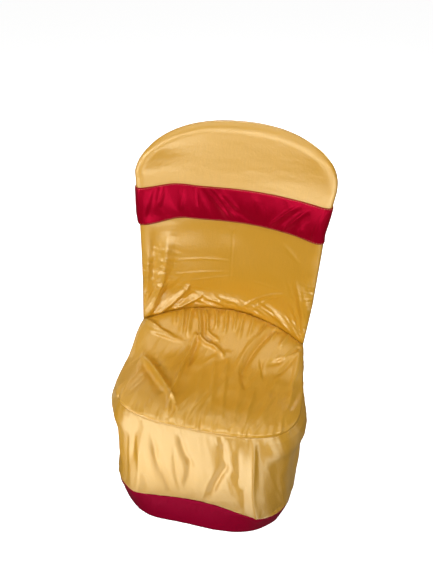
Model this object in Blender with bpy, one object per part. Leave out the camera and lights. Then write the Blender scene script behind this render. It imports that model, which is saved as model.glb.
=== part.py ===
"""A fitted satin cover for an armless stacking chair, with a sash and a contrasting hem band.

Everything is worked out in the chair's own frame: X across, Y from front to back, Z up from the floor,
in metres. The finished pieces hang from one empty, which moves the origin to the place where the top rail
of the chair holds the cover up. Each panel is a grid of points on its outer face, given its thickness
inwards by a Solidify modifier.
"""

import math

import bpy
import numpy as np

# Cloth
CLOTH = 0.0015
SEAM_GAP = 0.0006
SEAM_LAYER = CLOTH + 0.0003
SASH_STAND_OFF = 0.0024

# Waist: where the seat is sewn to the back
WAIST_Z = 0.4565
WAIST_Y = 0.0540
WAIST_HALF = 0.2090
WAIST_RISE = 0.0195
WAIST_REACH = 0.0615

# Back, measured up its slant from the waist
BACK_TILT = math.radians(16.75)
BACK_LENGTH = 0.4875
BACK_HALF = 0.2250
WIDEST_AT = 0.3680
ARCH_POWER = 2.41
HOLLOW_TOP = 0.0500
HALF_DEPTH_LOW = 0.007
HALF_DEPTH_TOP = 0.015
DEEP_AT = 0.16
EDGE_ROLL = 0.016

# Seat
SEAT_HALF = 0.2275
SEAT_WIDEST_Y = -0.0680
SEAT_FRONT_Y = -0.2220
SEAT_FRONT_Z = 0.4285
SEAT_SIDE_Z = 0.4165
SEAT_POWER = 3.25
SEAT_CROWN = 0.017
SEAT_ROLL = 0.055
SEAT_BACK_ROLL = 0.020

# Skirt and hem band
BAND_TOP_Z = 0.0610
BAND_TOP_HALF = 0.2485
BAND_TOP_FRONT_Y = -0.2335
BAND_TOP_DENT = 0.0295
DENT_HALF = 0.170
FLOOR_CLEARANCE = 0.003
BAND_FOOT_HALF = 0.2410
BAND_FOOT_FRONT_Y = -0.2440
SKIRT_CORNER_Y = -0.0695
BAND_TOP_POWER = 3.26
BAND_FOOT_POWER = 2.85
SKIRT_BULGE = 0.006
SKIRT_LENGTH = 1.30
SKIRT_DROP = 0.38
REAR_CORNER_Y = 0.205
REAR_CORNER_HALF = 0.226
REAR_FOOT_OUT = 0.004
REAR_DEPTH = 0.032
REAR_BULGE_LOW = 0.012

# Sash, measured up the slant of the back
SASH_FROM = 0.2675
SASH_TO = 0.3465
SASH_HALF_LENGTH = 0.95

# How far the loose outer back stands behind the slanted back, by height above the floor
OUTER_BACK_SLACK = (
    {"z": 0.00, "slack": 0.000},
    {"z": 0.25, "slack": 0.035},
    {"z": 0.45, "slack": 0.062},
    {"z": 0.62, "slack": 0.030},
    {"z": 0.80, "slack": 0.004},
    {"z": 0.95, "slack": 0.000},
)

# Soft folds: each runs from (a, b) to (c, d) on its panel, swells by height and fades over width.
# On the inner back a and c are across, b and d up the slant.
INNER_BACK_FOLDS = (
    {"a": -0.190, "b": 0.020, "c": -0.145, "d": 0.150, "width": 0.016, "height": 0.0045},
    {"a": -0.165, "b": 0.030, "c": -0.080, "d": 0.105, "width": 0.014, "height": 0.0035},
    {"a": -0.120, "b": 0.045, "c": 0.010, "d": 0.060, "width": 0.014, "height": 0.0025},
    {"a": 0.060, "b": 0.070, "c": 0.165, "d": 0.110, "width": 0.014, "height": 0.0025},
    {"a": 0.175, "b": 0.040, "c": 0.195, "d": 0.190, "width": 0.014, "height": 0.0035},
)
# On the seat a and c are across, b and d from front to back.
SEAT_FOLDS = (
    {"a": -0.110, "b": 0.063, "c": -0.100, "d": 0.003, "width": 0.011, "height": 0.0040},
    {"a": -0.070, "b": 0.085, "c": -0.060, "d": 0.023, "width": 0.010, "height": 0.0050},
    {"a": -0.035, "b": 0.093, "c": -0.105, "d": -0.117, "width": 0.012, "height": 0.0040},
    {"a": 0.000, "b": 0.095, "c": 0.020, "d": 0.003, "width": 0.010, "height": 0.0050},
    {"a": 0.045, "b": 0.091, "c": 0.040, "d": -0.027, "width": 0.011, "height": 0.0035},
    {"a": 0.090, "b": 0.078, "c": 0.050, "d": -0.047, "width": 0.011, "height": 0.0045},
    {"a": 0.150, "b": 0.053, "c": 0.095, "d": -0.037, "width": 0.013, "height": 0.0035},
    {"a": -0.170, "b": -0.027, "c": -0.120, "d": -0.167, "width": 0.018, "height": 0.0040},
)
# On the skirt a and c are shares of the way round from the left rear, b and d shares of the drop.
SKIRT_FOLDS = (
    {"a": 0.405, "b": 0.15, "c": 0.440, "d": 0.95, "width": 0.016, "height": -0.0055},
    {"a": 0.455, "b": 0.20, "c": 0.475, "d": 0.95, "width": 0.014, "height": -0.0045},
    {"a": 0.560, "b": 0.20, "c": 0.525, "d": 0.98, "width": 0.014, "height": -0.0050},
    {"a": 0.600, "b": 0.10, "c": 0.610, "d": 0.90, "width": 0.014, "height": 0.0040},
    {"a": 0.690, "b": 0.05, "c": 0.680, "d": 0.85, "width": 0.020, "height": -0.0060},
    {"a": 0.300, "b": 0.10, "c": 0.310, "d": 0.90, "width": 0.018, "height": -0.0050},
    {"a": 0.150, "b": 0.20, "c": 0.120, "d": 1.00, "width": 0.024, "height": 0.0060},
    {"a": 0.860, "b": 0.20, "c": 0.880, "d": 1.00, "width": 0.024, "height": 0.0060},
)
# On the outer back a and c are across, b and d above the floor.
OUTER_BACK_FOLDS = (
    {"a": -0.120, "b": 0.090, "c": -0.130, "d": 0.420, "width": 0.024, "height": 0.0070},
    {"a": -0.020, "b": 0.090, "c": -0.030, "d": 0.520, "width": 0.028, "height": 0.0060},
    {"a": 0.090, "b": 0.090, "c": 0.110, "d": 0.450, "width": 0.024, "height": 0.0070},
)
# On the sash a and c are shares of the way round from the left edge, b and d shares of its width.
SASH_FOLDS = (
    {"a": 0.130, "b": 0.95, "c": 0.190, "d": 0.05, "width": 0.010, "height": 0.0014},
    {"a": 0.170, "b": 0.95, "c": 0.240, "d": 0.05, "width": 0.009, "height": 0.0014},
    {"a": 0.440, "b": 0.95, "c": 0.390, "d": 0.05, "width": 0.010, "height": 0.0014},
)

# Grid sizes, and how tightly the lines of a grid gather towards its edges
BACK_ACROSS = 18
BACK_UP = 22
OUTER_UP = 26
SEAT_ACROSS = 22
SEAT_DEEP = 16
SKIRT_ROUND = 56
SKIRT_DOWN = 8
BAND_DOWN = 3
SASH_FRONT = 24
SASH_ROUND_EDGE = 5
SASH_UP = 3
GATHER = 0.45
GATHER_LITTLE = 0.2
EDGE_STEPS = 400

# The share of an outline that is its left side, and its right
INNER_SIDE = 0.36
OUTER_SIDE = 0.405
SEAT_SIDE = 0.335

FINISHES = {
    "gold_satin": {"colour": (0.62, 0.38, 0.09, 1.0), "roughness": 0.34, "metallic": 0.15},
    "maroon_satin": {"colour": (0.36, 0.006, 0.035, 1.0), "roughness": 0.36, "metallic": 0.05},
}


def smooth(t):
    """A ramp from 0 to 1 that starts and ends level."""
    t = np.clip(t, 0.0, 1.0)
    return t * t * (3.0 - 2.0 * t)


def roll(distance, reach):
    """A quarter round: 0 at an edge, 1 from reach inwards."""
    t = np.clip(np.asarray(distance) / reach, 0.0, 1.0)
    return np.sqrt(1.0 - (1.0 - t) ** 2)


def resample(points, count, packed_ends=0.0):
    """count + 1 points evenly spaced along a line, or packed towards its two ends."""
    points = np.asarray(points, float)
    along = np.concatenate([[0.0], np.cumsum(np.linalg.norm(np.diff(points, axis=0), axis=1))])
    share = np.linspace(0.0, 1.0, count + 1)
    share = share - packed_ends * np.sin(2.0 * math.pi * share) / (2.0 * math.pi)
    return np.stack([np.interp(share * along[-1], along, axis) for axis in points.T], axis=1)


def patch(bottom, top, left, right):
    """A four-sided grid filled in from its edges. Rows run from bottom to top, columns from left to right."""
    u = np.linspace(0.0, 1.0, len(bottom))[None, :, None]
    v = np.linspace(0.0, 1.0, len(left))[:, None, None]
    ruled = (1 - v) * bottom[None] + v * top[None] + (1 - u) * left[:, None] + u * right[:, None]
    corners = (1 - u) * (1 - v) * bottom[0] + u * (1 - v) * bottom[-1]
    corners = corners + (1 - u) * v * top[0] + u * v * top[-1]
    return ruled - corners


def from_edge(points, outline):
    """How far each point of a grid is from an outline, both in two dimensions."""
    flat = points.reshape(-1, 1, 2)
    start, run = outline[:-1][None], np.diff(outline, axis=0)[None]
    share = ((flat - start) * run).sum(2) / np.maximum((run**2).sum(2), 1e-12)
    nearest = start + np.clip(share, 0.0, 1.0)[..., None] * run
    return np.linalg.norm(flat - nearest, axis=2).min(1).reshape(points.shape[:-1])


def fold_height(points, folds):
    """The sum of a panel's soft folds at each point of a grid in two dimensions."""
    total = np.zeros(points.shape[:-1])
    for fold in folds:
        start = np.array([fold["a"], fold["b"]])
        run = np.array([fold["c"], fold["d"]]) - start
        share = np.clip(((points - start) @ run) / (run @ run), 0.0, 1.0)
        away = np.linalg.norm(points - start - share[..., None] * run, axis=-1)
        total += fold["height"] * np.exp(-((away / fold["width"]) ** 2))
    return total


def outward_of(points, closed=False):
    """Unit normals of a grid of points, from its rows and columns."""
    if closed:
        ring = np.concatenate([points[:, -1:], points, points[:, :1]], axis=1)
        across = (ring[:, 2:] - ring[:, :-2]) / 2.0
    else:
        across = np.gradient(points, axis=1)
    up = np.gradient(points, axis=0)
    normal = np.cross(across, up)
    return normal / np.maximum(np.linalg.norm(normal, axis=-1, keepdims=True), 1e-12)


# The back, in its own plane: x across, s up the slant


def back_half(s):
    """Half the width of the back."""
    s = np.asarray(s, float)
    below = WAIST_HALF + (BACK_HALF - WAIST_HALF) * np.sin(np.clip(s / WIDEST_AT, 0.0, 1.0) * math.pi / 2)
    t = np.clip((s - WIDEST_AT) / (BACK_LENGTH - WIDEST_AT), 0.0, 1.0)
    arch = BACK_HALF * (1.0 - t**ARCH_POWER) ** (1.0 / ARCH_POWER)
    return np.where(s < WIDEST_AT, below, arch)


def half_depth(s):
    """Half the thickness of the covered back, thin at the waist."""
    return HALF_DEPTH_LOW + (HALF_DEPTH_TOP - HALF_DEPTH_LOW) * smooth(np.asarray(s) / DEEP_AT)


def middle_y(x, s):
    """The middle of the covered back's thickness, hollow towards the sitter."""
    share = np.clip(np.asarray(s) / BACK_LENGTH, 0.0, 1.0)
    hollow = WAIST_REACH + (HOLLOW_TOP - WAIST_REACH) * share
    half = np.maximum(back_half(s), WAIST_HALF)
    return WAIST_Y + hollow * (1.0 - (x / half) ** 2) + s * math.sin(BACK_TILT)


def back_z(s):
    return WAIST_Z + s * math.cos(BACK_TILT)


def arch_outline():
    """The back's outline from the left waist over the top to the right waist, as (x, s)."""
    side_s = np.linspace(0.0, WIDEST_AT, 40, endpoint=False)
    side = np.stack([-back_half(side_s), side_s], axis=1)
    angle = np.linspace(0.0, math.pi, 121)
    power = 2.0 / ARCH_POWER
    x = -np.sign(np.cos(angle)) * np.abs(np.cos(angle)) ** power * BACK_HALF
    s = WIDEST_AT + (BACK_LENGTH - WIDEST_AT) * np.abs(np.sin(angle)) ** power
    return np.concatenate([side, np.stack([x, s], axis=1), side[::-1] * [-1, 1]])


def split_outline(outline, side_share):
    """An outline cut into its left side, its top and its right side, each running upwards or rightwards."""
    count = len(outline) - 1
    cut = round(side_share * count)
    return outline[: cut + 1], outline[cut : count - cut + 1], outline[count - cut :][::-1]


def back_surface(points, outer):
    """Points of the front face of the back, or of its rear face, over (x, s)."""
    x, s = points[..., 0], points[..., 1]
    depth = half_depth(s) * roll(from_edge(points, arch_outline()), EDGE_ROLL)
    y = middle_y(x, s) + (depth if outer else -depth)
    return np.stack([x, y, back_z(s)], axis=-1)


def waist_line(count):
    """The seam of the seat and the back as (x, s), from left to right."""
    x = np.linspace(-WAIST_HALF, WAIST_HALF, count + 1)
    return np.stack([x, WAIST_RISE * (1.0 - (x / WAIST_HALF) ** 2)], axis=1)


def waist_seam(count=60):
    """The same seam in three dimensions."""
    return back_surface(waist_line(count), outer=False)


def inner_back():
    left, top, right = split_outline(resample(arch_outline(), EDGE_STEPS), INNER_SIDE)
    lift = np.array([0.0, SEAM_GAP])
    bottom = resample(waist_line(60), BACK_ACROSS, GATHER)
    grid = patch(
        bottom + lift,
        resample(top, BACK_ACROSS, GATHER),
        resample(left, BACK_UP, GATHER) + lift,
        resample(right, BACK_UP, GATHER) + lift,
    )
    grid[..., 1] = np.minimum(grid[..., 1], BACK_LENGTH)
    face = back_surface(grid, outer=False)
    rim = roll(from_edge(grid, arch_outline()), EDGE_ROLL)
    seam = smooth((grid[..., 1] - bottom[:, 1]) / 0.03)
    under_sash = smooth((SASH_FROM - 0.01 - grid[..., 1]) / 0.03)
    face[..., 1] -= fold_height(grid, INNER_BACK_FOLDS) * rim * seam * under_sash + SEAM_LAYER
    return face


# The loops that the skirt and the hem band follow, seen from above


def loop(half, front_y, corner_y, power, rear):
    """From a rear point on the left, forwards, round the front and back to the right, as (x, y)."""
    angle = np.linspace(0.0, math.pi, 161)
    x = -np.sign(np.cos(angle)) * np.abs(np.cos(angle)) ** (2.0 / power) * half
    y = corner_y + (front_y - corner_y) * np.abs(np.sin(angle)) ** (2.0 / power)
    front = np.stack([x, y], axis=1)
    left = np.linspace([-rear[0], rear[1]], front[0], 30, endpoint=False)
    return np.concatenate([left, front, left[::-1] * [-1, 1]])


def seat_edge():
    """The seam of the seat and the skirt, in three dimensions, from the left waist to the right."""
    rear = (WAIST_HALF, WAIST_Y)
    plan = resample(loop(SEAT_HALF, SEAT_FRONT_Y, SEAT_WIDEST_Y, SEAT_POWER, rear), EDGE_STEPS)
    to_front = smooth((SEAT_WIDEST_Y - plan[:, 1]) / (SEAT_WIDEST_Y - SEAT_FRONT_Y))
    to_waist = smooth((plan[:, 1] - SEAT_WIDEST_Y) / (WAIST_Y - SEAT_WIDEST_Y))
    z = SEAT_SIDE_Z + (SEAT_FRONT_Z - SEAT_SIDE_Z) * to_front + (WAIST_Z - SEAT_SIDE_Z) * to_waist
    return np.column_stack([plan, z])


def band_top():
    """The seam of the skirt and the hem band, as (x, y)."""
    rear = (REAR_CORNER_HALF, REAR_CORNER_Y)
    plan = loop(BAND_TOP_HALF, BAND_TOP_FRONT_Y, SKIRT_CORNER_Y, BAND_TOP_POWER, rear)
    plan = resample(plan, EDGE_STEPS)
    front = smooth((SKIRT_CORNER_Y - plan[:, 1]) / (SKIRT_CORNER_Y - BAND_TOP_FRONT_Y))
    plan[:, 1] += BAND_TOP_DENT * front * np.clip(1.0 - (plan[:, 0] / DENT_HALF) ** 2, 0.0, 1.0)
    return plan


def band_foot():
    """The lower edge of the hem band, as (x, y)."""
    rear = (REAR_CORNER_HALF + REAR_FOOT_OUT, REAR_CORNER_Y + REAR_FOOT_OUT)
    plan = loop(BAND_FOOT_HALF, BAND_FOOT_FRONT_Y, SKIRT_CORNER_Y, BAND_FOOT_POWER, rear)
    return resample(plan, EDGE_STEPS)


def seat_panel():
    edge = seat_edge()
    left, front, right = split_outline(edge, SEAT_SIDE)
    back = waist_seam()
    grid = patch(
        resample(front, SEAT_ACROSS, GATHER),
        resample(back, SEAT_ACROSS, GATHER),
        resample(left[::-1], SEAT_DEEP, GATHER),
        resample(right[::-1], SEAT_DEEP, GATHER),
    )
    grid[..., 1] -= (SEAM_LAYER + SEAM_GAP) * np.linspace(0.0, 1.0, SEAT_DEEP + 1)[:, None]
    plan = grid[..., :2]
    side = from_edge(plan, edge[:, :2])
    rear = from_edge(plan, back[:, :2])
    crown = SEAT_CROWN * roll(side, SEAT_ROLL) * roll(rear, SEAT_BACK_ROLL)
    folds = fold_height(plan, SEAT_FOLDS) * smooth(side / 0.02) * smooth(rear / 0.012)
    grid[..., 2] += crown + folds + SEAM_LAYER
    return grid


def on_cloth(folds, length, width):
    """Folds whose places are shares of a panel's length and width, in metres."""
    scale = {"a": length, "b": width, "c": length, "d": width}
    return [{key: value * scale.get(key, 1.0) for key, value in fold.items()} for fold in folds]


def skirt():
    top = resample(seat_edge(), SKIRT_ROUND)
    foot = np.column_stack([resample(band_top(), SKIRT_ROUND), np.full(SKIRT_ROUND + 1, BAND_TOP_Z)])
    foot[:, 2] += SEAM_GAP
    down = np.linspace(0.0, 1.0, SKIRT_DOWN + 1)[:, None]
    grid = top[None] * (1.0 - down[..., None]) + foot[None] * down[..., None]
    around = np.linspace(0.0, 1.0, SKIRT_ROUND + 1)[None]
    at = np.stack(np.broadcast_arrays(around * SKIRT_LENGTH, down * SKIRT_DROP), axis=-1)
    seams = smooth(down / 0.12) * smooth((1.0 - down) / 0.15)
    bulge = SKIRT_BULGE * np.sin(math.pi * down) * np.sin(math.pi * around)
    raised = bulge + fold_height(at, on_cloth(SKIRT_FOLDS, SKIRT_LENGTH, SKIRT_DROP)) * seams
    return grid - outward_of(grid) * raised[..., None]


# The outer back, from the hem band to the top


def slack_at(z):
    table = np.array([[row["z"], row["slack"]] for row in OUTER_BACK_SLACK])
    at = np.clip(np.asarray(z, float), table[0, 0], table[-1, 0])
    step = np.clip(np.searchsorted(table[:, 0], at, side="right") - 1, 0, len(table) - 2)
    low, high = table[step], table[step + 1]
    share = smooth((at - low[..., 0]) / (high[..., 0] - low[..., 0]))
    return low[..., 1] + (high[..., 1] - low[..., 1]) * share


def side_seam_below():
    """The seam of the skirt and the outer back, from the band up to the waist, as (x, y, z)."""
    share = np.linspace(0.0, 1.0, 60)[:, None]
    low = np.array([REAR_CORNER_HALF, REAR_CORNER_Y, BAND_TOP_Z])
    high = np.array([WAIST_HALF, WAIST_Y, WAIST_Z])
    return low + (high - low) * share


def outer_outline():
    """The outer back's outline as (x, z), from the left foot over the top to the right foot."""
    below = side_seam_below()[:-1][:, [0, 2]]
    arch = arch_outline()
    above = np.stack([arch[:, 0], back_z(arch[:, 1])], axis=1)
    return np.concatenate([below * [-1, 1], above, below[::-1]])


def outer_y(points):
    """The rear face over (x, z)."""
    x, z = points[..., 0], points[..., 1]
    s = np.maximum((z - WAIST_Z) / math.cos(BACK_TILT), 0.0)
    drop = np.clip((WAIST_Z - z) / (WAIST_Z - BAND_TOP_Z), 0.0, 1.0)
    low = smooth(drop)
    edge = from_edge(points, outer_outline())
    above = middle_y(x, s)
    half = WAIST_HALF + (REAR_CORNER_HALF - WAIST_HALF) * drop
    bulge = WAIST_REACH + (REAR_BULGE_LOW - WAIST_REACH) * low
    below = WAIST_Y + (REAR_CORNER_Y - WAIST_Y) * drop + bulge * (1.0 - (x / half) ** 2)
    depth = half_depth(s) + (REAR_DEPTH - HALF_DEPTH_LOW) * low
    reach = EDGE_ROLL + (REAR_DEPTH - EDGE_ROLL) * low
    width = np.maximum(np.where(s > 0.0, back_half(s), half), 0.05)
    loose = slack_at(z) * np.clip(1.0 - (x / width) ** 2, 0.0, 1.0) ** 0.8
    return np.where(s > 0.0, above, below) + depth * roll(edge, reach) + loose + SEAM_LAYER


def outer_back():
    left, top, right = split_outline(resample(outer_outline(), 2 * EDGE_STEPS), OUTER_SIDE)
    foot = np.linspace([-REAR_CORNER_HALF, BAND_TOP_Z], [REAR_CORNER_HALF, BAND_TOP_Z], 60)
    lift = np.array([0.0, SEAM_GAP])
    grid = patch(
        resample(foot, BACK_ACROSS, GATHER) + lift,
        resample(top, BACK_ACROSS, GATHER),
        resample(left, OUTER_UP, GATHER_LITTLE) + lift,
        resample(right, OUTER_UP, GATHER_LITTLE) + lift,
    )
    rim = roll(from_edge(grid, outer_outline()), REAR_DEPTH)
    y = outer_y(grid) + fold_height(grid, OUTER_BACK_FOLDS) * rim
    return np.stack([grid[..., 0], y, grid[..., 1]], axis=-1)


def outer_back_parts():
    """The outer back cut at its centre seam and at the waist, by name, a seam gap apart."""
    grid = outer_back()
    middle = BACK_ACROSS // 2
    waist = int(np.argmin(np.abs(grid[:, middle, 2] - WAIST_Z)))
    parts = {}
    for height, rows, rise in (("low", slice(0, waist + 1), -1.0), ("top", slice(waist, None), 1.0)):
        for side, columns, shift in (("left", slice(0, middle + 1), -1.0), ("right", slice(middle, None), 1.0)):
            part = grid[rows, columns].copy()
            part[0 if rise > 0.0 else -1, :, 2] += rise * SEAM_GAP / 2.0
            part[:, 0 if shift > 0.0 else -1, 0] += shift * SEAM_GAP / 2.0
            parts[f"outer_back_{height}_{side}"] = part
    return parts


def hem_band():
    """A closed ring from the skirt's lower edge to just above the floor."""
    front_top = resample(band_top(), SKIRT_ROUND)
    front_foot = resample(band_foot(), SKIRT_ROUND)
    across = np.linspace([-REAR_CORNER_HALF, 0.0], [REAR_CORNER_HALF, 0.0], 60)
    x = resample(across, BACK_ACROSS, GATHER)[:, 0]
    rear = outer_y(np.stack([x, np.full_like(x, BAND_TOP_Z)], axis=-1))
    rear_top = np.stack([x, rear], axis=1)[::-1][1:-1]
    stretch = (REAR_CORNER_HALF + REAR_FOOT_OUT) / REAR_CORNER_HALF
    rear_foot = rear_top * [stretch, 1.0] + [0.0, REAR_FOOT_OUT]
    top = np.concatenate([front_top, rear_top])
    foot = np.concatenate([front_foot, rear_foot])
    rows = []
    for share in np.linspace(0.0, 1.0, BAND_DOWN + 1):
        z = BAND_TOP_Z - SEAM_GAP + (FLOOR_CLEARANCE - BAND_TOP_Z + SEAM_GAP) * share
        rows.append(np.column_stack([top * (1.0 - share) + foot * share, np.full(len(top), z)]))
    return np.array(rows)


def sash():
    """A closed ring round the back, standing a little proud of it."""
    rows = []
    for share in np.linspace(0.0, 1.0, SASH_UP + 1):
        s = SASH_FROM + (SASH_TO - SASH_FROM) * share
        turn = np.linspace(0.0, math.pi / 2, SASH_ROUND_EDGE + 1)
        corner = float(back_half(s)) - EDGE_ROLL * (1.0 - np.cos(turn))
        middle = np.linspace(-corner[-1], corner[-1], SASH_FRONT + 1)[1:-1]
        across = np.concatenate([-corner, middle, corner[::-1]])
        level = np.full_like(across, s)
        front = back_surface(np.stack([across, level], axis=-1), outer=False) - [0.0, SEAM_LAYER, 0.0]
        at = np.stack([across, back_z(level)], axis=-1)
        rear = np.stack([across, outer_y(at), at[:, 1]], axis=-1)
        rows.append(np.concatenate([front, rear[::-1][1:-1]]))
    grid = np.array(rows)
    grid = grid + outward_of(grid, closed=True) * SASH_STAND_OFF
    around = np.linspace(0.0, SASH_HALF_LENGTH, grid.shape[1])[None]
    up = np.linspace(0.0, SASH_TO - SASH_FROM, SASH_UP + 1)[:, None]
    at = np.stack(np.broadcast_arrays(around, up), axis=-1)
    raised = fold_height(at, on_cloth(SASH_FOLDS, SASH_HALF_LENGTH, SASH_TO - SASH_FROM))
    return grid + outward_of(grid, closed=True) * raised[..., None]


# From grids to objects


def make_finish(name):
    finish = bpy.data.materials.new(name)
    finish.use_nodes = True
    shader = finish.node_tree.nodes["Principled BSDF"]
    shader.inputs["Base Color"].default_value = FINISHES[name]["colour"]
    shader.inputs["Roughness"].default_value = FINISHES[name]["roughness"]
    shader.inputs["Metallic"].default_value = FINISHES[name]["metallic"]
    return finish


def make_cloth(name, grid, finish, parent, closed=False, turned=False):
    """One panel: its outer face as quads, with a Solidify that adds the thickness inwards."""
    rows, columns = grid.shape[:2]
    faces = []
    for row in range(rows - 1):
        for column in range(columns if closed else columns - 1):
            after = (column + 1) % columns
            face = (
                row * columns + column,
                row * columns + after,
                (row + 1) * columns + after,
                (row + 1) * columns + column,
            )
            faces.append(face[::-1] if turned else face)
    mesh = bpy.data.meshes.new(name)
    mesh.from_pydata([tuple(point) for point in grid.reshape(-1, 3)], [], faces)
    mesh.materials.append(finish)
    mesh.shade_smooth()
    cloth = bpy.data.objects.new(name, mesh)
    bpy.context.scene.collection.objects.link(cloth)
    cloth.parent = parent
    thickness = cloth.modifiers.new("Cloth thickness", "SOLIDIFY")
    thickness.thickness = CLOTH
    thickness.offset = -1.0
    thickness.use_even_offset = False
    return cloth


def main():
    for thing in list(bpy.data.objects):
        bpy.data.objects.remove(thing)
    gold = make_finish("gold_satin")
    maroon = make_finish("maroon_satin")
    chair_frame = bpy.data.objects.new("chair_frame", None)
    bpy.context.scene.collection.objects.link(chair_frame)
    top_y = float(middle_y(0.0, BACK_LENGTH))
    chair_frame.location = (0.0, -top_y, -(back_z(BACK_LENGTH) - CLOTH))
    make_cloth("inner_back", inner_back(), gold, chair_frame)
    for name, part in outer_back_parts().items():
        make_cloth(name, part, gold, chair_frame, turned=True)
    make_cloth("seat_panel", seat_panel(), gold, chair_frame)
    make_cloth("skirt", skirt(), gold, chair_frame, turned=True)
    make_cloth("hem_band", hem_band(), maroon, chair_frame, closed=True, turned=True)
    make_cloth("sash", sash(), maroon, chair_frame, closed=True)


main()
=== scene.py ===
# %% [markdown]
# # A satin chair cover with a sash
#
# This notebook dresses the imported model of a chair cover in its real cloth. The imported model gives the
# frame: where each panel is and how big it is. Here every panel is cut again as a fine sheet with its
# folds, puckers and seams, and gets a satin that shines the way satin does.

import math

import bpy
import numpy as np
from mathutils import Matrix, Vector


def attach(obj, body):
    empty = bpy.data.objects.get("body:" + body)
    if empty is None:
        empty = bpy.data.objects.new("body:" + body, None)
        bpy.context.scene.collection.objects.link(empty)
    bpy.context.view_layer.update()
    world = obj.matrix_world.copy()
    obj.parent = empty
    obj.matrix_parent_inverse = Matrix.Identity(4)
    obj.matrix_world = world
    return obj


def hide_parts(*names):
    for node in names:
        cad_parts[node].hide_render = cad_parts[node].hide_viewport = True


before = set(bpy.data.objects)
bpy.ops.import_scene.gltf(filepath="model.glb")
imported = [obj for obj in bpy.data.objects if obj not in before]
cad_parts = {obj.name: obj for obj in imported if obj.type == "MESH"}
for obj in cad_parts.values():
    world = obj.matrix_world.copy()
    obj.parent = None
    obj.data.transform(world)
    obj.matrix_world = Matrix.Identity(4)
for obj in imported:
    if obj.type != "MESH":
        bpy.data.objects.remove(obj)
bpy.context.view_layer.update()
print("nodes:", sorted(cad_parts))

# %% [markdown]
# ## Where things are
#
# A cover is easiest to think about on its chair: X across, Y from the front to the back, Z up from the
# floor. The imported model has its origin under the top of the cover, so each finished sheet is moved by one
# fixed step. The sizes below are the sizes of the cover, in metres.

# %% Sizes of the cover
ORIGIN = np.array([0.0, 0.2445, 0.9218])
CLOTH = 0.0012
SEAM_LAYER = 0.0002
SEAM_GROOVE = 0.0016
SEAM_GROOVE_REACH = 0.0022
HEM_GROOVE = 0.0006
HEM_GROOVE_REACH = 0.003

WAIST_Z = 0.4565
WAIST_Y = 0.0540
WAIST_HALF = 0.2090
WAIST_RISE = 0.0195
WAIST_REACH = 0.0615

BACK_TILT = math.radians(16.75)
BACK_LENGTH = 0.4875
BACK_HALF = 0.2250
WIDEST_AT = 0.3680
ARCH_POWER = 2.41
HOLLOW_TOP = 0.0500
HALF_DEPTH_LOW = 0.007
HALF_DEPTH_TOP = 0.015
DEEP_AT = 0.16
EDGE_ROLL = 0.024
SHOULDER_EASE = 0.014
SHOULDER_FROM = 0.30
SHOULDER_REACH = 0.08

SEAT_HALF = 0.2235
SEAT_WIDEST_Y = -0.0680
SEAT_FRONT_Y = -0.2220
SEAT_FRONT_Z = 0.4285
SEAT_SIDE_Z = 0.4165
SEAT_POWER = 3.25
SEAT_CROWN = 0.017
SEAT_ROLL = 0.055
SEAT_BACK_ROLL = 0.045

BAND_TOP_Z = 0.0610
BAND_TOP_HALF = 0.2485
BAND_TOP_FRONT_Y = -0.2335
BAND_TOP_DENT = 0.0295
DENT_HALF = 0.170
FLOOR_CLEARANCE = 0.003
BAND_FOOT_HALF = 0.2410
BAND_FOOT_FRONT_Y = -0.2440
SKIRT_CORNER_Y = -0.0695
BAND_TOP_POWER = 3.26
BAND_FOOT_POWER = 2.85
SKIRT_BULGE = 0.006
# The skirt's fold table is laid out on a flat strip of this length and drop, not on its sewn size.
SKIRT_LENGTH = 1.30
SKIRT_DROP = 0.38
REAR_CORNER_Y = 0.205
REAR_CORNER_HALF = 0.226
REAR_FOOT_OUT = 0.004
REAR_DEPTH = 0.032
REAR_BULGE_LOW = 0.012

SASH_FROM = 0.2675
SASH_TO = 0.3465
SASH_STAND_OFF = 0.0034
print("the back is", round(2 * BACK_HALF, 3), "m wide and", round(BACK_LENGTH, 3), "m up its slant")

# %% [markdown]
# ## A small sewing kit in numbers
#
# Cloth panels have four sides, so each one starts as a grid that is filled in from its four edges. This is
# called a Coons patch. It could be modelled by hand with loop cuts instead, but a grid built from its edges
# starts from the same seam lines as its neighbours.


# %% Curves and grids
def smooth(t):
    """A ramp from 0 to 1 that starts and ends level."""
    t = np.clip(t, 0.0, 1.0)
    return t * t * (3.0 - 2.0 * t)


def roll(distance, reach):
    """A quarter round: 0 at an edge, 1 from reach inwards."""
    t = np.clip(np.asarray(distance) / reach, 0.0, 1.0)
    return np.sqrt(1.0 - (1.0 - t) ** 2)


def resample(points, count):
    """count + 1 points evenly spaced along a line."""
    points = np.asarray(points, float)
    along = np.concatenate([[0.0], np.cumsum(np.linalg.norm(np.diff(points, axis=0), axis=1))])
    at = np.linspace(0.0, along[-1], count + 1)
    return np.stack([np.interp(at, along, axis) for axis in points.T], axis=1)


def patch(bottom, top, left, right):
    """A four-sided grid filled in from its edges. Rows run from bottom to top, columns from left to right."""
    u = np.linspace(0.0, 1.0, len(bottom))[None, :, None]
    v = np.linspace(0.0, 1.0, len(left))[:, None, None]
    ruled = (1 - v) * bottom[None] + v * top[None] + (1 - u) * left[:, None] + u * right[:, None]
    corners = (1 - u) * (1 - v) * bottom[0] + u * (1 - v) * bottom[-1]
    return ruled - corners - (1 - u) * v * top[0] - u * v * top[-1]


def from_edge(points, outline):
    """How far each point of a grid is from an outline, both in two dimensions."""
    start, run = outline[:-1][None], np.diff(outline, axis=0)[None]
    squares = np.maximum((run**2).sum(2), 1e-12)
    away = []
    for row in points:
        share = np.clip(((row[:, None] - start) * run).sum(2) / squares, 0.0, 1.0)
        away.append(np.linalg.norm(row[:, None] - start - share[..., None] * run, axis=2).min(1))
    return np.array(away)


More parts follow.
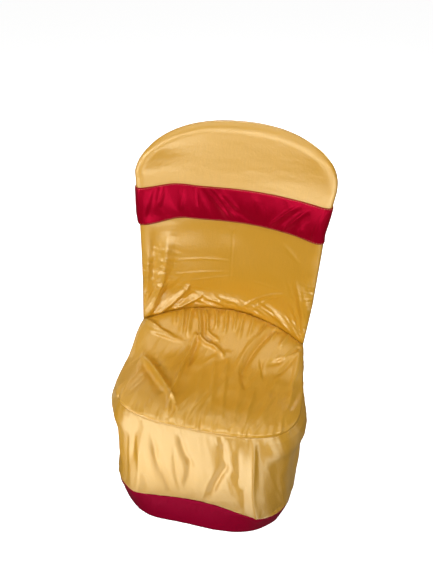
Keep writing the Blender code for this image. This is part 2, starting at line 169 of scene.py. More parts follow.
def outward_of(points, closed=False):
    """Unit normals of a grid of points, from its rows and columns."""
    if closed:
        ring = np.concatenate([points[:, -1:], points, points[:, :1]], axis=1)
        across = (ring[:, 2:] - ring[:, :-2]) / 2.0
    else:
        across = np.gradient(points, axis=1)
    normal = np.cross(across, np.gradient(points, axis=0))
    return normal / np.maximum(np.linalg.norm(normal, axis=-1, keepdims=True), 1e-12)


print("sewing kit ready")

# %% [markdown]
# ## Not quite symmetrical
#
# A worn cover never sits quite evenly. This table moves the left and the right side of every piece by up
# to 14 millimetres, by height. All pieces go through the same table, so it pulls no seam apart. A lattice in
# Blender would do the same by hand.

# %% How the cover sits
SITS = (
    {"z": 0.000, "left": -0.014, "right": -0.006},
    {"z": 0.062, "left": -0.012, "right": -0.007},
    {"z": 0.150, "left": 0.000, "right": -0.004},
    {"z": 0.300, "left": 0.004, "right": 0.000},
    {"z": 0.400, "left": 0.008, "right": -0.001},
    {"z": 0.450, "left": 0.000, "right": 0.000},
    {"z": 0.560, "left": 0.006, "right": -0.001},
    {"z": 0.640, "left": 0.007, "right": -0.005},
    {"z": 0.700, "left": 0.006, "right": -0.007},
    {"z": 0.728, "left": 0.001, "right": -0.010},
    {"z": 0.785, "left": -0.001, "right": -0.003},
    {"z": 0.820, "left": -0.005, "right": 0.001},
    {"z": 0.870, "left": 0.004, "right": 0.005},
    {"z": 0.930, "left": 0.002, "right": 0.000},
)


def as_worn(points):
    """Moves the two sides of a grid of points by what the cover sits out of true."""
    x, z = points[..., 0], points[..., 2]
    heights = [row["z"] for row in SITS]
    left = np.interp(z, heights, [row["left"] for row in SITS])
    right = np.interp(z, heights, [row["right"] for row in SITS])
    moved = points.copy()
    moved[..., 0] += left * smooth((0.02 - x) / 0.20) + right * smooth((x + 0.02) / 0.20)
    return moved


print("the cover sits up to", max(abs(row["left"]) for row in SITS), "m out of true")

# %% [markdown]
# ## Folds and puckers
#
# A fold is a line on the panel that swells on both sides. Each row of a fold table says where the line
# starts and ends, how far it bows, how wide and high it is, how much it leans over, and how strong it still
# is at its head and its tail. Finer crinkles come from value noise that is stretched along the pull of the
# cloth. A noise texture in the material could fake them, but real geometry also changes the outline and
# casts soft shadows.

# %% Folds
FOLD = ("x0", "y0", "x1", "y1", "bow", "width", "height", "lean", "head", "tail")
BEZIER_STEPS = 12


def fold_height(points, rows):
    """The height of a panel's folds at each point of a grid in two dimensions."""
    total = np.zeros(points.shape[:-1])
    for row in rows:
        f = dict(zip(FOLD, row))
        start, end = np.array([f["x0"], f["y0"]]), np.array([f["x1"], f["y1"]])
        side = np.array([start[1] - end[1], end[0] - start[0]])
        middle = (start + end) / 2.0 + side * f["bow"]
        t = np.linspace(0.0, 1.0, BEZIER_STEPS + 1)[:, None]
        line = (1 - t) ** 2 * start + 2 * t * (1 - t) * middle + t**2 * end
        best = np.full(points.shape[:-1], 9.0)
        sign, along = np.zeros_like(best), np.zeros_like(best)
        for step in range(BEZIER_STEPS):
            run = line[step + 1] - line[step]
            share = np.clip(((points - line[step]) @ run) / (run @ run), 0.0, 1.0)
            offset = points - line[step] - share[..., None] * run
            away = np.linalg.norm(offset, axis=-1)
            closer = away < best
            best = np.where(closer, away, best)
            sign = np.where(closer, np.sign(run[0] * offset[..., 1] - run[1] * offset[..., 0]), sign)
            along = np.where(closer, (step + share) / BEZIER_STEPS, along)
        x = best / (f["width"] * (1.0 + f["lean"] * sign))
        crest = 0.55 * np.exp(-(x**2)) + 0.45 * np.exp(-1.7 * np.sqrt(x**2 + 0.05))
        strength = np.interp(along, [0.0, 0.25, 0.7, 1.0], [f["head"], 1.0, 1.0, f["tail"]])
        total += f["height"] * crest * strength
    return total


def noise(x, y, seed):
    """Smooth random heights from -1 to 1, one cell to each unit of x and y."""
    table = np.random.default_rng(seed).uniform(-1.0, 1.0, (64, 64))
    column, row = np.floor(x).astype(int), np.floor(y).astype(int)
    u, v = smooth(x - column), smooth(y - row)
    left = table[row % 64, column % 64] * (1 - v) + table[(row + 1) % 64, column % 64] * v
    right = table[row % 64, (column + 1) % 64] * (1 - v) + table[(row + 1) % 64, (column + 1) % 64] * v
    return left * (1 - u) + right * u


def crinkles(x, y, seed):
    """Sharp-crested random folds that wander and branch, between about -0.5 and 0.5."""
    x = x + 0.55 * noise(0.7 * x + 3.1, 0.9 * y + 5.7, seed + 2)
    y = y + 0.45 * noise(0.6 * x + 9.4, 0.8 * y + 2.3, seed + 3)
    broad = 1.0 - 2.0 * np.sqrt(noise(x, y, seed) ** 2 + 0.002)
    fine = 1.0 - 2.0 * np.sqrt(noise(2.1 * x + 7.3, 2.1 * y + 1.9, seed + 1) ** 2 + 0.004)
    return 0.32 * broad + 0.18 * fine


def spot(points, x, y, reach_x, reach_y):
    """1 in the middle of a soft-edged patch of the panel, 0 outside it."""
    away = ((points[..., 0] - x) / reach_x) ** 2 + ((points[..., 1] - y) / reach_y) ** 2
    return np.exp(-away)


print("folds are described by", ", ".join(FOLD))

# %% [markdown]
# ## From a grid to a sheet
#
# Each sheet stores its own UV map in metres, so that the weave has the right scale and the satin knows
# which way its threads run. A Solidify modifier gives it the thickness of cloth.


# %% Making a sheet
def make_sheet(name, grid, closed=False, turned=False):
    """A sheet of cloth over a grid, with a UV map in metres called cloth."""
    grid = as_worn(grid)
    rows, columns = grid.shape[:2]
    width = columns if closed else columns - 1
    row, column = np.divmod(np.arange((rows - 1) * width), width)
    after = (column + 1) % columns
    faces = np.stack([row * columns + column, row * columns + after, (row + 1) * columns + after,
                      (row + 1) * columns + column], axis=1)
    ends = np.concatenate([grid, grid[:, :1]], axis=1) if closed else grid
    across = np.linalg.norm(np.diff(ends, axis=1), axis=2).mean(0)
    u = np.concatenate([[0.0], np.cumsum(across)])
    v = np.concatenate([[0.0], np.cumsum(np.linalg.norm(np.diff(grid, axis=0), axis=2).mean(1))])
    corner_u = np.stack([u[column], u[column + 1], u[column + 1], u[column]], axis=1)
    corner_v = np.stack([v[row], v[row], v[row + 1], v[row + 1]], axis=1)
    if turned:
        faces, corner_u, corner_v = faces[:, ::-1], corner_u[:, ::-1], corner_v[:, ::-1]
    mesh = bpy.data.meshes.new(name)
    mesh.from_pydata((grid - ORIGIN).reshape(-1, 3).tolist(), [], faces.tolist())
    layer = mesh.uv_layers.new(name="cloth")
    layer.data.foreach_set("uv", np.stack([corner_u, corner_v], axis=-1).astype(np.float32).ravel())
    mesh.shade_smooth()
    piece = bpy.data.objects.new(name, mesh)
    bpy.context.scene.collection.objects.link(piece)
    thickness = piece.modifiers.new("Cloth thickness", "SOLIDIFY")
    thickness.thickness = CLOTH
    thickness.offset = -1.0
    area = np.linalg.norm(np.cross(np.diff(grid, axis=0)[:, :-1], np.diff(grid, axis=1)[:-1]), axis=2).sum()
    print(f"{name}: {len(faces)} faces, {u[-1]:.3f} by {v[-1]:.3f} m, {area:.3f} square metres")
    side = -1.0 if turned else 1.0
    return {"piece": piece, "across": float(u[-1]), "along": float(v[-1]), "area": float(area),
            "grid": grid - ORIGIN, "outward": side * outward_of(grid, closed), "closed": closed}


def declare(sheet, nodes):
    """Hangs a finished sheet under the root and hides the imported parts that it replaces."""
    piece = sheet["piece"]
    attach(piece, "root")
    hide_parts(*nodes)


print("sheets are", CLOTH * 1000, "mm thick")

# %% [markdown]
# ## The shape of the back
#
# The back is a tall arch that leans away and is hollow towards the sitter. Half its width is given by how
# far up the slant a point is. The front and the rear panel meet along the arch and bulge apart inside it.


# %% The back as functions
def back_half(s):
    """Half the width of the back."""
    s = np.asarray(s, float)
    below = WAIST_HALF + (BACK_HALF - WAIST_HALF) * np.sin(np.clip(s / WIDEST_AT, 0.0, 1.0) * math.pi / 2)
    t = np.clip((s - WIDEST_AT) / (BACK_LENGTH - WIDEST_AT), 0.0, 1.0)
    return np.where(s < WIDEST_AT, below, BACK_HALF * (1.0 - t**ARCH_POWER) ** (1.0 / ARCH_POWER))


def half_depth(s):
    """Half the thickness of the covered back, thin at the waist."""
    return HALF_DEPTH_LOW + (HALF_DEPTH_TOP - HALF_DEPTH_LOW) * smooth(np.asarray(s) / DEEP_AT)


def middle_y(x, s):
    """The middle of the covered back's thickness."""
    share = np.clip(np.asarray(s) / BACK_LENGTH, 0.0, 1.0)
    hollow = WAIST_REACH + (HOLLOW_TOP - WAIST_REACH) * share
    ease = SHOULDER_EASE * smooth((np.asarray(s) - SHOULDER_FROM) / SHOULDER_REACH)
    wide = back_half(s)
    half = (wide + WAIST_HALF + np.sqrt((wide - WAIST_HALF) ** 2 + ease**2)) / 2.0
    return WAIST_Y + hollow * (1.0 - (x / half) ** 2) + s * math.sin(BACK_TILT)


def back_z(s):
    return WAIST_Z + s * math.cos(BACK_TILT)


def arch_outline():
    """The back's outline from the left waist over the top to the right waist, as (x, s)."""
    side_s = np.linspace(0.0, WIDEST_AT, 40, endpoint=False)
    side = np.stack([-back_half(side_s), side_s], axis=1)
    angle = np.linspace(0.0, math.pi, 121)
    power = 2.0 / ARCH_POWER
    x = -np.sign(np.cos(angle)) * np.abs(np.cos(angle)) ** power * BACK_HALF
    s = WIDEST_AT + (BACK_LENGTH - WIDEST_AT) * np.abs(np.sin(angle)) ** power
    return np.concatenate([side, np.stack([x, s], axis=1), side[::-1] * [-1, 1]])


def split_outline(outline, side_share):
    """An outline cut into its left side, its top and its right side, each running upwards or rightwards."""
    count = len(outline) - 1
    cut = round(side_share * count)
    return outline[: cut + 1], outline[cut : count - cut + 1], outline[count - cut :][::-1]


LUMBAR_PAD, LUMBAR_REACH = 0.006, 0.055


def front_of_back(points):
    """Points of the front face of the back over (x, s)."""
    x, s = points[..., 0], points[..., 1]
    pad = LUMBAR_PAD * np.exp(-(((s - (SASH_FROM + SASH_TO) / 2) / LUMBAR_REACH) ** 2))
    depth = (half_depth(s) + pad) * roll(from_edge(points, arch_outline()), EDGE_ROLL)
    return np.stack([x, middle_y(x, s) - depth, back_z(s)], axis=-1)


def waist_line(count=60):
    """The seam of the seat and the back as (x, s), from left to right."""
    x = np.linspace(-WAIST_HALF, WAIST_HALF, count + 1)
    return np.stack([x, WAIST_RISE * (1.0 - (x / WAIST_HALF) ** 2)], axis=1)


waist_seam = front_of_back(waist_line()[None])[0]
print("waist seam from", waist_seam[0].round(3), "over", waist_seam[30].round(3))

# %% [markdown]
# ## The front panel of the back
#
# Above the sash the cloth is stretched smooth over the arch. Below it, it is pulled down to the waist, so
# folds fan out from the two waist corners, and the creases of the folded packet still show across it.

# %% Folds of the front panel
INNER_FOLDS = (
    (0.004, 0.255, 0.006, 0.112, 0.0, 0.0022, 0.0009, 0.0, 0.6, 0.4),
    (-0.014, 0.264, 0.004, 0.244, 0.0, 0.0030, 0.0010, 0.0, 1.0, 0.5),
    (0.022, 0.264, 0.004, 0.244, 0.0, 0.0030, 0.0010, 0.0, 1.0, 0.5),
    (-0.130, 0.162, 0.000, 0.164, 0.02, 0.0024, 0.0009, 0.0, 0.3, 0.3),
    (-0.134, 0.124, 0.000, 0.134, -0.03, 0.0026, 0.0011, 0.0, 0.4, 0.3),
    (-0.134, 0.100, 0.024, 0.128, -0.06, 0.0026, 0.0012, 0.0, 0.5, 0.3),
    (-0.120, 0.090, -0.040, 0.072, 0.03, 0.0028, 0.0010, 0.0, 0.5, 0.3),
    (0.044, 0.118, 0.142, 0.118, 0.03, 0.0026, 0.0008, 0.0, 0.3, 0.4),
    (0.142, 0.112, 0.044, 0.040, -0.10, 0.0032, 0.0024, 0.3, 0.5, 0.6),
    (0.142, 0.108, 0.072, 0.040, -0.05, 0.0030, 0.0022, -0.3, 0.4, 0.6),
    (-0.138, 0.094, -0.030, 0.042, -0.03, 0.0024, 0.0014, 0.0, 0.3, 0.5),
    (-0.158, 0.226, -0.170, 0.096, 0.02, 0.0130, 0.0066, 0.2, 0.1, 0.5),
    (-0.187, 0.236, -0.191, 0.075, 0.02, 0.0075, -0.0034, 0.0, 0.1, 0.1),
    (-0.202, 0.190, -0.202, 0.050, 0.00, 0.0045, 0.0026, 0.0, 0.3, 0.5),
    (-0.174, 0.094, -0.200, 0.016, 0.12, 0.0085, 0.0105, 0.2, 0.7, 0.8),
    (-0.152, 0.104, -0.180, 0.022, 0.10, 0.0060, -0.0045, 0.0, 0.2, 0.6),
    (-0.104, 0.078, -0.172, 0.014, 0.06, 0.0075, 0.0095, -0.3, 0.7, 0.8),
    (-0.090, 0.064, -0.134, 0.020, 0.04, 0.0042, -0.0034, 0.0, 0.3, 0.5),
    (-0.070, 0.054, -0.134, 0.020, 0.05, 0.0065, 0.0070, -0.3, 0.6, 0.6),
    (-0.034, 0.056, 0.040, 0.040, 0.08, 0.0055, 0.0024, 0.2, 0.2, 0.2),
    (-0.060, 0.048, -0.010, 0.036, 0.08, 0.0050, 0.0024, 0.2, 0.2, 0.2),
    (0.088, 0.066, 0.160, 0.030, 0.05, 0.0060, 0.0034, 0.2, 0.2, 0.3),
    (0.100, 0.050, 0.176, 0.016, 0.04, 0.0050, 0.0028, 0.0, 0.2, 0.5),
    (0.206, 0.010, 0.168, 0.160, -0.14, 0.0080, 0.0044, 0.3, 0.6, 0.0),
    (0.204, 0.016, 0.188, 0.150, -0.16, 0.0060, 0.0034, -0.2, 0.6, 0.0),
    (0.130, 0.236, 0.176, 0.200, 0.10, 0.0060, 0.0010, 0.0, 0.2, 0.0),
    (-0.150, 0.236, -0.196, 0.150, -0.10, 0.0080, 0.0016, 0.0, 0.0, 0.3),
)
print(len(INNER_FOLDS), "folds")


# %% Cut the front panel
def cut_inner_back(across=168, up=180):
    left, top, right = split_outline(resample(arch_outline(), 400), 0.36)
    sides = resample(left, up), resample(right, up)
    grid = patch(resample(waist_line(), across), resample(top, across), *sides)
    grid[..., 1] = np.minimum(grid[..., 1], BACK_LENGTH)
    x, s = grid[..., 0], grid[..., 1]
    face = front_of_back(grid)
    face[..., 1] -= SEAM_LAYER
    rim = roll(from_edge(grid, arch_outline()), EDGE_ROLL)
    above_seam = s - WAIST_RISE * (1.0 - (x / WAIST_HALF) ** 2)
    loose = smooth(above_seam / 0.012) * smooth((SASH_FROM + 0.004 - s) / 0.012)
    left_fan = np.arctan2(x + 0.212, s + 0.004) / 0.075
    right_fan = np.arctan2(0.212 - x, s + 0.004) / 0.085
    height = 1.2 * fold_height(grid, INNER_FOLDS)
    height += 0.0065 * crinkles(left_fan, s / 0.075, 11) * spot(grid, -0.185, 0.075, 0.060, 0.075)
    height += 0.0075 * crinkles(right_fan, s / 0.070, 21) * spot(grid, 0.190, 0.070, 0.035, 0.080)
    creased = spot(grid, -0.168, 0.140, 0.028, 0.060)
    height += 0.0070 * crinkles(x / 0.034, (s + 0.5 * x) / 0.0095, 31) * creased
    height += 0.0060 * crinkles(x / 0.030, (s + 0.3 * x) / 0.012, 41) * spot(grid, 0.0, 0.040, 0.160, 0.022)
    height += 0.0010 * noise(x / 0.050, s / 0.040, 51)
    uneven = 0.85 + 0.35 * noise(x / 0.045, 0.5, 53)
    height -= 0.0070 * np.exp(-(((above_seam - 0.052) / 0.030) ** 2)) * uneven
    edge = from_edge(grid, arch_outline())
    rim_crinkles = 0.0050 * crinkles(s / 0.0090, edge / 0.035, 57)
    height += rim_crinkles * np.exp(-edge / 0.013) * smooth((0.20 - s) / 0.05)
    height *= rim * loose
    seam = -0.0012 * (1.0 - smooth(above_seam / 0.004))
    tight = 0.00018 * noise(x / 0.035, s / 0.010, 61) * smooth((s - SASH_TO) / 0.02) * rim
    return face + outward_of(face) * (height + seam + tight)[..., None]


inner_back = make_sheet("front_panel", cut_inner_back())

# %% [markdown]
# ## The seat
#
# The seat panel is gathered into the waist seam and eased into the front seam, so short puckers run away
# from both. Longer folds cross it where the cloth is pulled towards the corners.


# %% The outline of the seat
def loop(half, front_y, corner_y, power, rear):
    """From a rear point on the left, forwards, round the front and back to the right, as (x, y)."""
    angle = np.linspace(0.0, math.pi, 161)
    x = -np.sign(np.cos(angle)) * np.abs(np.cos(angle)) ** (2.0 / power) * half
    y = corner_y + (front_y - corner_y) * np.abs(np.sin(angle)) ** (2.0 / power)
    front = np.stack([x, y], axis=1)
    left = np.linspace([-rear[0], rear[1]], front[0], 30, endpoint=False)
    return np.concatenate([left, front, left[::-1] * [-1, 1]])


def seat_edge():
    """The seam of the seat and the skirt, in three dimensions, from the left waist to the right."""
    plan = resample(loop(SEAT_HALF, SEAT_FRONT_Y, SEAT_WIDEST_Y, SEAT_POWER, (WAIST_HALF, WAIST_Y)), 400)
    to_front = smooth((SEAT_WIDEST_Y - plan[:, 1]) / (SEAT_WIDEST_Y - SEAT_FRONT_Y))
    to_waist = smooth((plan[:, 1] - SEAT_WIDEST_Y) / (WAIST_Y - SEAT_WIDEST_Y))
    z = SEAT_SIDE_Z + (SEAT_FRONT_Z - SEAT_SIDE_Z) * to_front + (WAIST_Z - SEAT_SIDE_Z) * to_waist
    return np.column_stack([plan, z])


print("seat edge runs", round(float(np.linalg.norm(np.diff(seat_edge(), axis=0), axis=1).sum()), 3), "m")

# %% Folds of the seat
SEAT_FOLDS = (
    (-0.055, 0.020, -0.068, -0.162, -0.04, 0.0052, 0.0070, -0.5, 0.7, 0.3),
    (-0.048, 0.010, -0.058, -0.080, -0.03, 0.0075, -0.0036, 0.0, 0.8, 0.1),
    (-0.176, -0.050, -0.066, -0.162, 0.04, 0.0115, 0.0085, 0.4, 0.2, 0.7),
    (-0.152, -0.050, -0.076, -0.138, 0.04, 0.0130, -0.0050, 0.0, 0.2, 0.5),
    (-0.168, -0.078, -0.100, -0.150, 0.05, 0.0100, -0.0034, 0.0, 0.2, 0.4),
    (-0.069, -0.166, -0.066, -0.204, 0.05, 0.0050, 0.0040, 0.0, 0.8, 0.4),
    (-0.066, -0.162, -0.048, -0.192, 0.05, 0.0050, 0.0036, 0.0, 0.8, 0.2),
    (0.140, 0.066, 0.073, -0.060, -0.20, 0.0068, -0.0060, 0.3, 0.8, 0.5),
    (0.072, -0.050, 0.090, -0.108, -0.12, 0.0060, -0.0030, 0.3, 0.2, 0.0),
    (0.124, 0.068, 0.060, -0.056, -0.20, 0.0070, 0.0036, -0.3, 0.6, 0.1),
    (0.110, 0.078, 0.092, 0.034, 0.05, 0.0045, -0.0036, 0.0, 0.9, 0.0),
    (0.109, -0.012, 0.127, -0.070, 0.05, 0.0040, -0.0024, 0.3, 0.2, 0.0),
    (0.197, 0.032, 0.131, -0.022, 0.16, 0.0055, -0.0042, 0.3, 0.8, 0.2),
    (0.200, 0.022, 0.140, -0.008, 0.16, 0.0055, 0.0030, 0.0, 0.6, 0.0),
    (0.194, 0.010, 0.149, -0.054, 0.06, 0.0060, -0.0032, -0.3, 0.7, 0.0),
    (0.200, 0.010, 0.192, -0.120, -0.04, 0.0080, 0.0030, 0.4, 0.6, 0.0),
    (0.000, -0.018, 0.024, -0.190, 0.02, 0.0070, 0.0022, 0.3, 0.0, 0.4),
    (0.033, -0.008, 0.052, -0.190, -0.02, 0.0070, 0.0024, -0.3, 0.2, 0.4),
    (0.076, -0.080, 0.078, -0.196, 0.03, 0.0080, 0.0018, 0.2, 0.0, 0.6),
    (-0.022, -0.040, -0.012, -0.186, 0.03, 0.0090, 0.0016, 0.2, 0.0, 0.4),
    (0.112, -0.090, 0.104, -0.190, -0.03, 0.0090, 0.0020, -0.3, 0.0, 0.5),
    (0.150, -0.090, 0.134, -0.180, -0.03, 0.0090, 0.0020, 0.3, 0.0, 0.5),
    (-0.066, 0.082, -0.045, 0.016, 0.06, 0.0045, 0.0085, 0.4, 0.9, 0.6),
    (-0.046, 0.020, -0.008, 0.000, -0.14, 0.0045, 0.0085, -0.4, 0.7, 0.6),
    (-0.012, 0.004, 0.025, -0.026, 0.10, 0.0050, 0.0060, 0.3, 0.7, 0.0),
    (-0.046, 0.086, -0.028, 0.024, 0.10, 0.0042, 0.0070, -0.4, 0.9, 0.3),
    (-0.030, 0.034, 0.004, 0.016, -0.16, 0.0042, 0.0055, 0.3, 0.6, 0.0),
    (-0.086, 0.084, -0.077, 0.008, -0.05, 0.0060, 0.0060, 0.4, 0.9, 0.0),
    (-0.106, 0.080, -0.094, 0.016, 0.05, 0.0055, 0.0045, -0.3, 0.9, 0.0),
    (-0.128, 0.074, -0.118, 0.034, 0.05, 0.0050, 0.0030, 0.0, 0.9, 0.0),
    (-0.022, 0.094, -0.010, 0.040, 0.06, 0.0045, 0.0050, 0.3, 0.9, 0.0),
    (0.008, 0.096, 0.014, 0.030, 0.04, 0.0048, 0.0048, -0.3, 0.9, 0.0),
    (0.030, 0.096, 0.034, 0.042, 0.04, 0.0045, 0.0042, 0.3, 0.9, 0.0),
    (0.054, 0.092, 0.052, 0.026, -0.04, 0.0055, 0.0042, -0.3, 0.9, 0.0),
    (0.078, 0.088, 0.072, 0.030, 0.04, 0.0055, 0.0036, 0.3, 0.9, 0.0),
    (0.140, 0.074, 0.126, 0.030, 0.04, 0.0055, 0.0036, 0.0, 0.9, 0.0),
    (0.170, 0.062, 0.150, 0.018, 0.04, 0.0055, 0.0036, 0.0, 0.9, 0.0),
    (-0.200, 0.042, -0.150, 0.022, -0.06, 0.0050, 0.0040, 0.3, 0.9, 0.0),
    (-0.190, 0.034, -0.110, 0.008, -0.05, 0.0052, 0.0052, -0.3, 0.5, 0.0),
    (-0.180, 0.014, -0.075, -0.001, -0.04, 0.0062, 0.0036, 0.3, 0.2, 0.2),
)
print(len(SEAT_FOLDS), "folds")


# %% Cut the seat panel
def cut_seat(across=176, deep=130):
    edge = seat_edge()
    left, front, right = split_outline(edge, 0.335)
    grid = patch(resample(front, across), resample(waist_seam, across), resample(left[::-1], deep),
                 resample(right[::-1], deep))
    grid[..., 1] -= SEAM_LAYER * np.linspace(0.0, 1.0, deep + 1)[:, None]
    plan = grid[..., :2].copy()
    x, y = plan[..., 0], plan[..., 1]
    side = from_edge(plan, edge[:, :2])
    rear = from_edge(plan, waist_seam[:, :2])
    grid[..., 2] += SEAT_CROWN * roll(side, SEAT_ROLL) * roll(rear, SEAT_BACK_ROLL) + SEAM_LAYER
    height = 1.9 * fold_height(plan, SEAT_FOLDS) * smooth(side / 0.016)
    gathers = crinkles(x / 0.019, rear / 0.055, 71) * np.exp(-rear / 0.034)
    height += 0.0110 * gathers * spot(plan, -0.020, 0.09, 0.120, 0.20)
    tangle = spot(plan, -0.03, 0.05, 0.05, 0.045)
    height += 0.0080 * crinkles((x + 0.3 * y) / 0.020, (y - 0.3 * x) / 0.032, 81) * tangle
    puckers = crinkles(x / 0.017, side / 0.060, 91) * np.exp(-side / 0.024) * smooth((-0.12 - y) / 0.05)
    height += 0.0120 * puckers
    streaks = crinkles((x - 0.35 * y) / 0.030, (y + 0.35 * x) / 0.110, 101) * smooth((0.06 - y) / 0.08)
    height += 0.0050 * streaks * smooth(side / 0.02)
    height += 0.0012 * noise(x / 0.055, y / 0.070, 111)
    height *= smooth(side / 0.005) * smooth(rear / 0.012)
    height -= SEAM_GROOVE * np.exp(-side / SEAM_GROOVE_REACH)
    return grid + outward_of(grid) * height[..., None]


seat = make_sheet("seat_top", cut_seat())

# %% [markdown]
# ## The skirt
#
# One panel runs round the front and the sides. It hangs almost straight, with a few long folds that start
# under the seat's edge and die out at the hem, and it puffs out a little below the seam at the sides.

# %% Folds of the skirt
SKIRT_FOLDS = (
    (-0.146, 0.050, -0.080, 0.338, 0.04, 0.0150, -0.0120, -0.3, 0.2, 0.3),
    (-0.126, 0.110, -0.092, 0.330, 0.03, 0.0070, 0.0030, 0.0, 0.0, 0.4),
    (-0.052, 0.034, -0.022, 0.160, 0.06, 0.0130, -0.0085, -0.2, 0.3, 0.6),
    (-0.022, 0.140, -0.042, 0.310, -0.05, 0.0150, -0.0085, -0.3, 0.5, 0.2),
    (-0.067, 0.080, -0.052, 0.335, 0.04, 0.0070, -0.0046, 0.2, 0.1, 0.5),
    (0.086, 0.024, 0.090, 0.150, 0.06, 0.0140, -0.0070, 0.2, 0.2, 0.6),
    (0.092, 0.130, 0.034, 0.338, 0.06, 0.0125, -0.0095, 0.3, 0.5, 0.3),
    (0.060, 0.150, 0.012, 0.345, 0.05, 0.0080, 0.0030, 0.0, 0.1, 0.4),
    (0.134, 0.030, 0.124, 0.230, 0.02, 0.0110, -0.0036, 0.0, 0.2, 0.0),
    (0.140, 0.200, 0.136, 0.360, 0.02, 0.0080, -0.0030, 0.0, 0.1, 0.5),
    (0.182, 0.020, 0.170, 0.365, 0.06, 0.0130, 0.0095, 0.3, 0.4, 0.8),
    (-0.204, 0.040, -0.204, 0.230, 0.00, 0.0150, -0.0065, 0.0, 0.2, 0.2),
    (-0.168, 0.240, -0.142, 0.348, 0.00, 0.0120, -0.0060, 0.2, 0.1, 0.4),
    (-0.178, 0.120, -0.170, 0.360, 0.00, 0.0110, 0.0035, -0.3, 0.1, 0.6),
    (-0.230, 0.060, -0.210, 0.350, 0.04, 0.0110, -0.0030, 0.2, 0.1, 0.3),
    (-0.280, 0.020, -0.250, 0.300, 0.04, 0.0140, 0.0040, 0.0, 0.2, 0.2),
    (0.244, 0.030, 0.228, 0.365, 0.00, 0.0340, -0.0050, 0.0, 0.6, 0.9),
    (0.320, 0.060, 0.290, 0.340, -0.04, 0.0200, -0.0020, 0.2, 0.1, 0.3),
    (0.350, 0.050, 0.318, 0.360, 0.03, 0.0160, 0.0045, 0.0, 0.2, 0.5),
    (0.450, 0.060, 0.400, 0.370, 0.03, 0.0180, 0.0060, 0.2, 0.2, 0.6),
    (-0.360, 0.050, -0.330, 0.360, -0.03, 0.0160, 0.0050, 0.0, 0.2, 0.5),
    (-0.470, 0.060, -0.420, 0.370, -0.03, 0.0180, 0.0060, 0.2, 0.2, 0.6),
)
print(len(SKIRT_FOLDS), "folds")


# %% Cut the skirt
def band_top():
    """The seam of the skirt and the hem band, as (x, y)."""
    rear = (REAR_CORNER_HALF, REAR_CORNER_Y)
    plan = resample(loop(BAND_TOP_HALF, BAND_TOP_FRONT_Y, SKIRT_CORNER_Y, BAND_TOP_POWER, rear), 400)
    front = smooth((SKIRT_CORNER_Y - plan[:, 1]) / (SKIRT_CORNER_Y - BAND_TOP_FRONT_Y))
    plan[:, 1] += BAND_TOP_DENT * front * np.clip(1.0 - (plan[:, 0] / DENT_HALF) ** 2, 0.0, 1.0)
    return plan


def cut_skirt(round_it=380, down_it=104):
    top = resample(seat_edge(), round_it)
    foot = np.column_stack([resample(band_top(), round_it), np.full(round_it + 1, BAND_TOP_Z)])
    down = np.linspace(0.0, 1.0, down_it + 1)[:, None]
    grid = top[None] * (1.0 - down[..., None]) + foot[None] * down[..., None]
    around = np.linspace(-0.5, 0.5, round_it + 1)[None] * SKIRT_LENGTH
    plan = np.stack(np.broadcast_arrays(around, down * SKIRT_DROP), axis=-1)
    u, w = plan[..., 0], plan[..., 1]
    rear_seams = smooth((0.5 * SKIRT_LENGTH - np.abs(around)) / 0.020)
    seams = smooth(down / 0.05) * smooth((1.0 - down) / 0.05)
    height = fold_height(plan, SKIRT_FOLDS) * seams
    ends = np.cos(math.pi * around / SKIRT_LENGTH)
    height += SKIRT_BULGE * np.sin(math.pi * down) * ends
    side = smooth((np.abs(around) - 0.19) / 0.06) * smooth((0.50 - np.abs(around)) / 0.12)
    height += 0.0125 * side * np.exp(-(((down - 0.13) / 0.12) ** 2)) * smooth(down / 0.05)
    height += 0.0026 * crinkles(u / 0.016, w / 0.060, 121) * np.exp(-w / 0.028) * smooth(down / 0.012)
    near_hem = SKIRT_DROP - w
    hem_puckers = 0.0030 * crinkles(u / 0.015, near_hem / 0.05, 131)
    height += hem_puckers * np.exp(-near_hem / 0.030) * smooth(near_hem / 0.004)
    height += 0.0024 * crinkles(u / 0.040 - w / 0.20, w / 0.30, 141) * seams
    height += 0.0008 * noise(u / 0.030, w / 0.050, 151) * seams
    height *= rear_seams
    height -= SEAM_GROOVE * np.exp(-w / SEAM_GROOVE_REACH) + HEM_GROOVE * np.exp(-near_hem / HEM_GROOVE_REACH)
    return grid - outward_of(grid) * height[..., None]


skirt = make_sheet("skirt_cloth", cut_skirt(), turned=True)

# %% [markdown]
# ## The rear panel
#
# The rear panel falls from the arch to the hem in one piece. It bulges over the waist, where the chair's
# back and seat meet, and hangs in two or three broad folds.

# %% How far the rear panel stands out
OUTER_BACK_SLACK = (
    {"z": 0.00, "slack": 0.000},
    {"z": 0.25, "slack": 0.035},
    {"z": 0.45, "slack": 0.062},
    {"z": 0.62, "slack": 0.030},
    {"z": 0.80, "slack": 0.004},
    {"z": 0.95, "slack": 0.000},
)
OUTER_FOLDS = (
    (-0.130, 0.120, -0.110, 0.430, 0.03, 0.0240, 0.0060, 0.2, 0.2, 0.0),
    (-0.020, 0.110, -0.036, 0.520, -0.03, 0.0260, 0.0050, 0.0, 0.2, 0.0),
    (0.090, 0.120, 0.112, 0.460, 0.03, 0.0230, 0.0060, -0.2, 0.2, 0.0),
    (-0.200, 0.440, -0.090, 0.330, 0.10, 0.0120, 0.0040, 0.2, 0.2, 0.0),
    (0.200, 0.440, 0.100, 0.320, -0.10, 0.0120, 0.0040, 0.2, 0.2, 0.0),
    (-0.205, 0.470, -0.120, 0.560, -0.12, 0.0110, 0.0034, 0.0, 0.2, 0.0),
    (0.205, 0.470, 0.110, 0.570, 0.12, 0.0110, 0.0034, 0.0, 0.2, 0.0),
    (0.000, 0.080, 0.004, 0.240, 0.0, 0.0140, -0.0040, 0.0, 0.5, 0.0),
)


